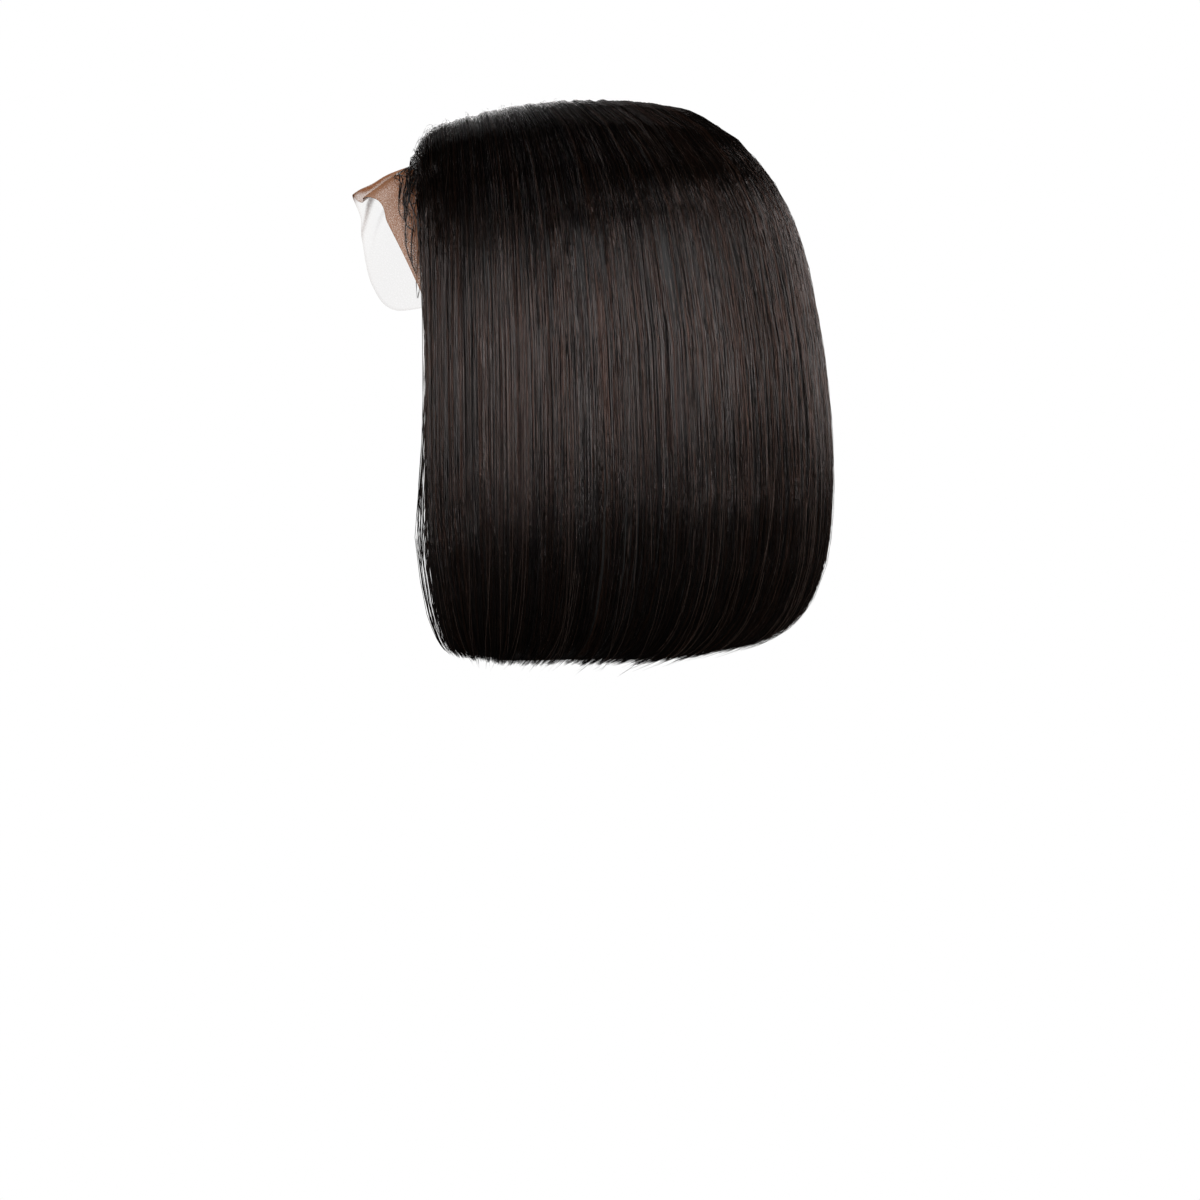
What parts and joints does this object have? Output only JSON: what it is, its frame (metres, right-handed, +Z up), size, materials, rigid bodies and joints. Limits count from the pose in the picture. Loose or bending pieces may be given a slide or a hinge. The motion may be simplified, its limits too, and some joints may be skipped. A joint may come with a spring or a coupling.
{
  "type": "bob wig",
  "caption": "Straight chin-to-neck length bob wig with a middle parting, a sheer lace front with a loose margin and a net cap.",
  "frame": {"origin": "on the inside of the cover at its highest point, where the top of the head carries the wig, in the middle plane", "axes": "+Z up, the wearer's face looks along -Y, the wearer's left side is at +X"},
  "size_m": [0.204, 0.2546, 0.2984],
  "materials": {
    "hair": "straight natural black hair, satin",
    "lace": "sheer tan net, matte",
    "cap_net": "black stretch net, matte"
  },
  "bodies": {
    "root": {"lace_front": "lace", "cap": "cap_net", "side_hair_left": "hair", "side_hair_right": "hair", "back_hair": "hair"}
  },
  "joints": []
}
